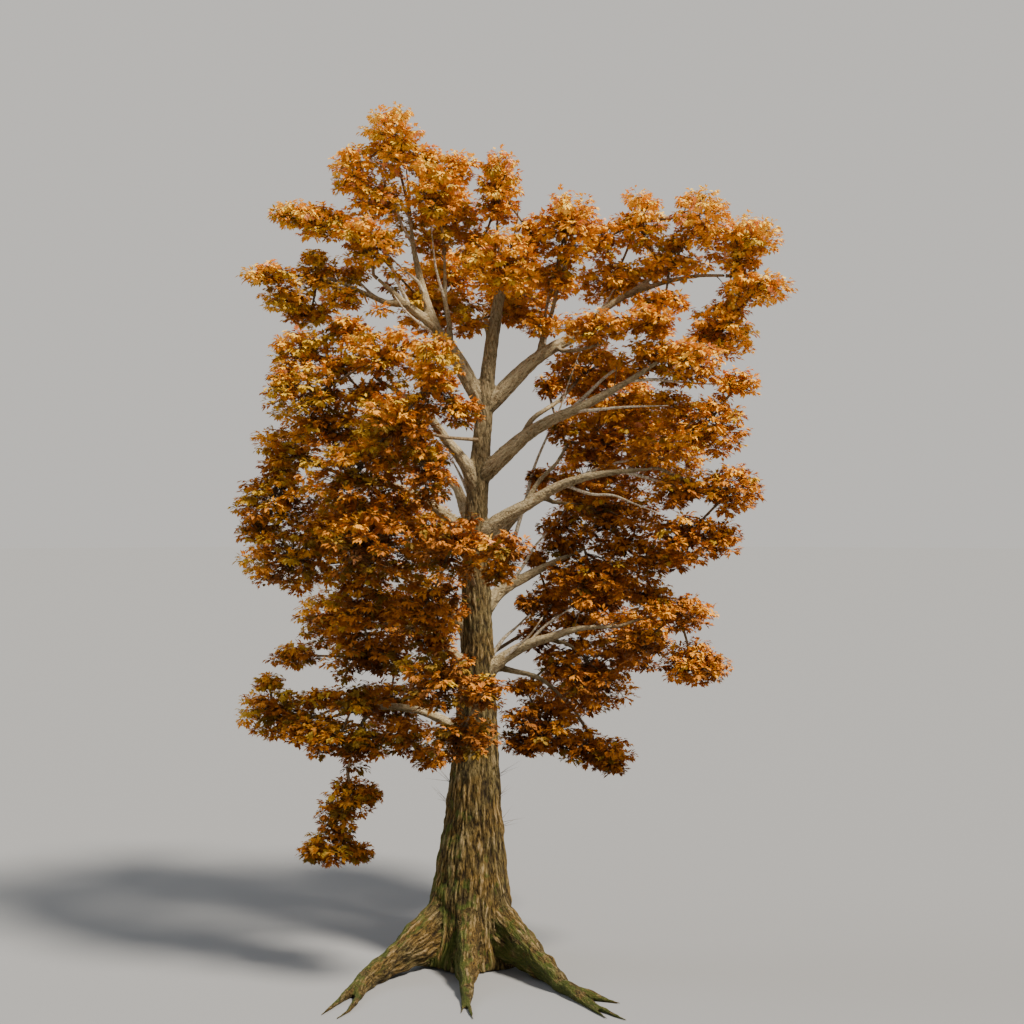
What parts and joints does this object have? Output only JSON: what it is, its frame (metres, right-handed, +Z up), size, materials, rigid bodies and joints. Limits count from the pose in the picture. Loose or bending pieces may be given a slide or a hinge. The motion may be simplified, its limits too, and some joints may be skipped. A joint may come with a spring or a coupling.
{
  "type": "sassafras tree",
  "caption": "Whole broadleaf tree in autumn leaf: a flared, leaning trunk with surface roots, forking boughs and an open, clumped amber crown.",
  "frame": {"origin": "middle of the flat cut under the trunk, at ground level", "axes": "+Z up; -Y towards the front, the side that the picture shows; +X to the right of someone who looks at the front"},
  "size_m": [13.2537, 9.0271, 19.9857],
  "materials": {
    "bark": "rough, deeply furrowed grey-brown bark with green moss low down and pale grey upper limbs",
    "leaves_amber": "matt thin autumn leaves, amber orange",
    "leaves_gold": "matt thin autumn leaves, golden yellow",
    "leaves_russet": "matt thin autumn leaves, russet red",
    "leaves_olive": "matt thin autumn leaves, yellow green"
  },
  "bodies": {
    "root": {"bough_back_left": "bark", "bough_back_right": "bark", "bough_back_top": "bark", "bough_left_low": "bark", "bough_left_lower": "bark", "bough_left_lowest": "bark", "bough_left_middle": "bark", "bough_left_top": "bark", "bough_left_upper": "bark", "bough_right_low": "bark", "bough_right_lower": "bark", "bough_right_lowest": "bark", "bough_right_middle": "bark", "bough_right_top": "bark", "bough_right_upper": "bark", "branch_far_left": "bark", "branch_hanging": "bark", "branch_low_inner": "bark", "branch_middle_inner": "bark", "branch_middle_rising": "bark", "branch_peak": "bark", "branch_right_crest": "bark", "branch_right_shelf": "bark", "branch_right_tip": "bark", "branch_top_centre": "bark", "branch_upper_back": "bark", "leaves_back_left": "leaves_gold", "leaves_back_low_left": "leaves_olive", "leaves_back_low_right": "leaves_russet", "leaves_back_right": "leaves_amber", "leaves_back_top": "leaves_olive", "leaves_far_left": "leaves_amber", "leaves_front_low": "leaves_russet", "leaves_front_middle": "leaves_gold", "leaves_front_upper": "leaves_amber", "leaves_hanging": "leaves_olive", "leaves_leader": "leaves_amber", "leaves_left_low": "leaves_gold", "leaves_left_lower": "leaves_amber", "leaves_left_lowest": "leaves_russet", "leaves_left_middle": "leaves_olive", "leaves_left_top": "leaves_gold", "leaves_left_upper": "leaves_russet", "leaves_low_inner": "leaves_amber", "leaves_middle_inner": "leaves_gold", "leaves_middle_rising": "leaves_amber", "leaves_peak": "leaves_russet", "leaves_right_crest": "leaves_olive", "leaves_right_low": "leaves_olive", "leaves_right_lower": "leaves_russet", "leaves_right_lowest": "leaves_gold", "leaves_right_middle": "leaves_olive", "leaves_right_shelf": "leaves_amber", "leaves_right_tip": "leaves_russet", "leaves_right_top": "leaves_gold", "leaves_right_upper": "leaves_gold", "leaves_top_centre": "leaves_olive", "leaves_upper_back": "leaves_russet", "trunk": "bark"}
  },
  "joints": []
}
